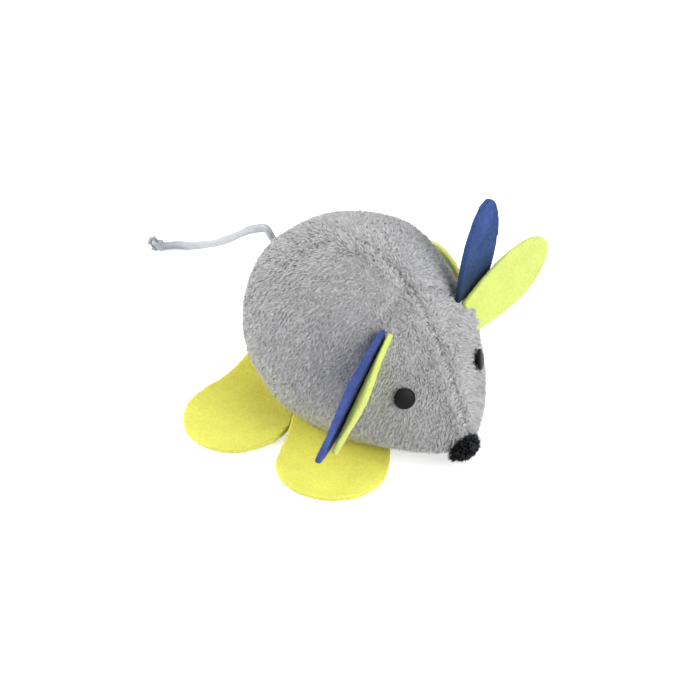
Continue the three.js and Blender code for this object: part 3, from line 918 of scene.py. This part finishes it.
def press(piece, line, depth, reach):
    """Presses a groove along a line of points into the outside of a piece."""
    places, outward = vertices_of(piece)
    away = np.min([np.linalg.norm(places - np.array(p), axis=1) for p in line], axis=0)
    move_vertices(piece, places - outward * (depth * np.exp(-((away / reach) ** 2)))[:, None])


def meet_at_seam(skin):
    """Draws the edge of a side panel up to the seam down the middle of the back."""
    places, _ = vertices_of(skin)
    away = places[:, 1] - seam_y
    pull = seam_pull * np.exp(-((away / seam_pull_reach) ** 2))
    places[:, 1] -= np.sign(away) * np.minimum(pull, np.abs(away) * 0.9)
    move_vertices(skin, places)


def outside(points):
    """Which of the points lie on the outside of the skin, further from the filling than its inside."""
    return np.array([filling_tree.find_nearest(Vector(p))[3] > tuft_length * 0.72 for p in points])


def clear_of_pieces(points):
    """Which of the points touch neither the felt nor the eyes."""
    clear = np.ones(len(points), bool)
    for i, p in enumerate(points):
        for tree in obstacle_trees:
            place, normal, _, away = tree.find_nearest(Vector(p), 1.5 * mm)
            if place is not None and (away < tuft_clearance or (Vector(p) - place).dot(normal) < 0):
                clear[i] = False
                break
    return clear


def streaks(points, side):
    """How high the combed streaks of the pile stand at each point, about -1 to 1, and their slope across."""
    round_it = np.arctan2(np.abs(points[:, 1] - seam_y), points[:, 2] - right_high.z / 2) * body_girth_radius
    wander = np.array([noise.noise(Vector(p) / swirl_size) for p in points]) * streak_wander
    across = points[:, 0] + streak_slant * round_it + wander
    values = []
    for shift in (0, 0.4):
        values.append(np.array([
            noise.noise(Vector((a / streak_width + shift, r / streak_length, 7 * s)))
            for a, r, s in zip(across, round_it, side)
        ]))
    return values[0], values[1] - values[0]


def plush(node, name):
    skin = copy_of(node, name)
    modify(skin, "REMESH", mode="VOXEL", voxel_size=backing_voxel)
    modify(skin, "SMOOTH", factor=0.5, iterations=4)
    modify(skin, "DISPLACE", strength=-backing_sink, mid_level=0)
    modify(skin, "DISPLACE", texture=clouds(f"{name} lumps", lump_size), strength=lump_height, mid_level=0.5)
    smooth(skin)
    return skin


def dart_line(skin, ear, steps=14):
    """From the back seam down to an ear, lying on the plush."""
    end = hinges[ear]
    start = Vector((dart_top_x, seam_y + math.copysign(backing_voxel, end.y), 0))
    tree = tree_of(skin)
    line = []
    for i in range(steps + 1):
        place = start.lerp(end, i / steps)
        found = tree.ray_cast(Vector((place.x, place.y, right_high.z * 2)), Vector((0, 0, -1)))[0]
        if found is not None:
            line.append(found)
    return line


def pile(name, skin, count, seed, gaps):
    """The pile of a skin: fibres that lean down the flank, in streaks, and rearwards along the back seam."""
    chance = np.random.default_rng(seed)
    roots, outward = scattered(skin, count, chance, outside)
    side = np.sign(roots[:, 1] - seam_y)
    seam = np.exp(-(((roots[:, 1] - seam_y) / seam_fade) ** 2)) * (outward[:, 2] > 0)
    down = np.stack([np.full(count, -0.25), 0.45 * side, np.full(count, -1)], 1)
    nap = down * (1 - seam[:, None]) + np.array((-1, 0, 0)) * seam[:, None]
    nap += 0.5 * np.array([noise.noise_vector(Vector(p) / swirl_size) for p in roots])
    curl = 0.7 - 0.4 * seam[:, None]
    nap += curl * np.array([noise.noise_vector(Vector(p) / curl_size) for p in roots])
    closing = np.exp(-(((roots[:, 1] - seam_y) / seam_close) ** 2)) * (outward[:, 2] > 0) * side
    nap[:, 1] -= 1.2 * closing
    height, slope = streaks(roots, side)
    nap += 1.3 * slope[:, None] * np.array((1, 0, 0)) + chance.normal(0, 0.16, (count, 3))
    nap = unit(nap - outward * (nap * outward).sum(1)[:, None])
    head = np.clip((roots[:, 0] - head_start_x) / head_run, 0, 1)
    lean = (tuft_lean * (1 - 0.3 * np.maximum(seam, head)) + chance.normal(0, 0.14, count))[:, None]
    axis = outward * np.cos(lean) + nap * np.sin(lean)
    bent = outward * np.cos(lean + 0.35) + nap * np.sin(lean + 0.35)
    flat = unit(np.cross(axis, outward))
    roll = chance.normal(0, 0.45, (count, 1))
    wide = tuft_width * chance.uniform(0.7, 1.25, (count, 1))
    across = (flat * np.cos(roll) + np.cross(axis, flat) * np.sin(roll)) * wide
    long = tuft_length * (chance.uniform(0.8, 1.1, (count, 1)) + 0.24 * height[:, None])
    low = roots - outward * tuft_sink
    middles = low + axis * long * 0.6
    tips = middles + bent * long * 0.4
    kept = clear_of_pieces(middles) & clear_of_pieces(tips)
    for gap in gaps:
        kept &= np.linalg.norm(middles - np.array(gap), axis=1) > stitch_gap
    facing = unit(outward + 0.3 * axis + chance.normal(0, 0.1, (count, 3)))
    # Painted shade and light: fibres low in the valleys between the streaks are painted darker and those on the crests
    # lighter, with a random tone on top
    shade = np.clip(0.5 + 0.75 * height + chance.normal(0, 0.12, count), 0, 1)
    return fibres(name, *(x[kept] for x in (low, middles, tips, across, facing, shade)))


def seam_places(skin, aside, pitch):
    """Places a pitch apart on the plush beside the back seam, from behind the ears to the nose."""
    tree = tree_of(skin)
    places = []
    x = stitch_rear_x
    while x < stitch_front_x:
        place = tree.ray_cast(Vector((x, seam_y + aside, 2 * right_high.z)), Vector((0, 0, -1)))[0]
        if place is not None and (not places or (place - places[-1]).length > pitch):
            places.append(place)
        x += 0.05 * mm
    return places


ear_gather = [
    ("left_ear_blue", (1.5, -2.5, 0.5)), ("left_ear_lime", (0.5, -1, -2)), ("left_ear_lime", (0.2, 0, 1)),
    ("left_ear_lime", (-0.5, -1.4, 4.5)),
]
skins = [
    ("right_side_panel", "plush_right", "pile_right", "right_ear_blue", side_tufts, 11),
    ("left_side_panel", "plush_left", "pile_left", "left_ear_blue", side_tufts, 12),
    ("belly_panel", "plush_belly", "pile_belly", None, belly_tufts, 13),
]
stitches = []
for node, name, pile_name, ear, count, seed in skins:
    skin = plush(node, name)
    if ear:
        meet_at_seam(skin)
        press(skin, dart_line(skin, ear), dart_depth, dart_reach)
    if name == "plush_right":
        press(skin, seam_places(skin, -ridge_aside, stitch_pitch / 4), -ridge_height, ridge_reach)
    if name == "plush_left":
        press(skin, seam_places(skin, stitch_aside, stitch_pitch / 4), groove_depth, groove_reach)
        gather = [hinges[ear] + Vector(p) * mm for ear, p in ear_gather]
        press(skin, gather, -gather_height, gather_reach)
        stitches = seam_places(skin, stitch_aside, stitch_pitch)
    settle(skin)
    keep_above_floor(skin)
    dress(skin, plush_backing, "plush", "grey_plush", node)
    cover = pile(pile_name, skin, count, seed, [p + Vector((0, 0, 1)) * tuft_length / 2 for p in stitches])
    dress(cover, plush_pile, "plush", "grey_plush")

# The thread of those stitches runs in and out of the plush. Its dark grey is painted shade in the gaps the stitches
# pinch in the pile.
thread_line = []
for i, (here, ahead) in enumerate(zip(stitches, stitches[1:])):
    for step in range(8):
        share = step / 8
        place = here.lerp(ahead, share)
        place.z += stitch_depth * math.cos(2 * math.pi * share) * 0.7
        place.y += stitch_swing * math.sin(2 * math.pi * share)
        thread_line.append(place)
thread = cord_piece("seam_thread_painted_shade", thread_line, thread_diameter, 1, stitch_pitch)
dress(thread, seam_thread_painted_shade, "plush", "grey_plush")


# Pompom nose: a core and the cut ends of its yarn
nose_low, nose_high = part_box("nose")
nose_middle = (nose_low + nose_high) / 2
nose_half = (nose_high - nose_low) / 2
core = copy_of("nose", "nose_core")
for vertex in core.data.vertices:
    vertex.co = nose_middle + (vertex.co - nose_middle) * nose_core_share
modify(core, "SUBSURF", levels=1, render_levels=1)
smooth(core)
dress(core, pompom_yarn, "plush", "pompom_yarn", "nose")


def pompom(name, count, seed):
    chance = np.random.default_rng(seed)
    way = unit(chance.normal(0, 1, (count, 3)))
    half = np.array(nose_half)
    low = np.array(nose_middle) + way * half * nose_core_share * 0.9
    tuft = np.clip(way @ np.array(nose_tuft) - nose_tuft_share, 0, 1)[:, None]
    tips = np.array(nose_middle) + way * half * (chance.uniform(0.88, 1.2, (count, 1)) + 1.5 * tuft)
    tips += chance.normal(0, 0.25 * mm, (count, 3))
    middles = low + (tips - low) * 0.7
    across = unit(np.cross(way, chance.normal(0, 1, (count, 3)))) * yarn_width
    return fibres(name, low, middles, tips, across, way, chance.random(count))


dress(pompom("nose_yarn", yarn_strands, 21), pompom_yarn, "plush", "pompom_yarn")


# Floor, backdrop and light
bpy.ops.mesh.primitive_plane_add(size=3)
floor = bpy.context.object
floor.name = "floor"


def seen_directly(tree):
    """1 where the camera, a mirror or glass looks straight at a surface, and 0 for its light on others."""
    path = node_in(tree, "ShaderNodeLightPath")
    seen = path.outputs["Is Camera Ray"]
    for ray in ("Is Glossy Ray", "Is Transmission Ray"):
        both = node_in(tree, "ShaderNodeMath", operation="MAXIMUM")
        tree.links.new(seen, both.inputs[0])
        tree.links.new(path.outputs[ray], both.inputs[1])
        seen = both.outputs["Value"]
    return seen


floor_material, tree, shader = new_material("pale floor", Roughness=1, Base_Color=(0.94, 0.94, 0.94, 1))
shader.inputs["Specular IOR Level"].default_value = 0
shader.inputs["Emission Color"].default_value = (1, 1, 1, 1)
lift = node_in(tree, "ShaderNodeMath", operation="MULTIPLY")
lift.inputs[1].default_value = 0.6
tree.links.new(seen_directly(tree), lift.inputs[0])
tree.links.new(lift.outputs["Value"], shader.inputs["Emission Strength"])
floor.data.materials.append(floor_material)

world = bpy.data.worlds.new("studio")
world.use_nodes = True
bpy.context.scene.world = world
strength = node_in(world.node_tree, "ShaderNodeMapRange")
strength.inputs["To Min"].default_value = 0.25
strength.inputs["To Max"].default_value = 1
world.node_tree.links.new(seen_directly(world.node_tree), strength.inputs["Value"])
background = world.node_tree.nodes["Background"]
background.inputs["Color"].default_value = (1, 1, 1, 1)
world.node_tree.links.new(strength.outputs["Result"], background.inputs["Strength"])

lamps = [
    ("front light", Vector((0.906, 0, 0.423)), 0.6, 6.1),
    ("rear light", Vector((-0.704, -0.503, 0.503)), 0.7, 7.9),
    ("top light", Vector((0.2, 0.15, 0.97)), 0.8, 4.6),
]
for name, place, size, power in lamps:
    lamp = bpy.data.objects.new(name, bpy.data.lights.new(name, "AREA"))
    lamp.data.size = size
    lamp.data.energy = power
    lamp.location = place
    lamp.rotation_mode = "QUATERNION"
    lamp.rotation_quaternion = (-place).to_track_quat("-Z", "Y")
    bpy.context.collection.objects.link(lamp)
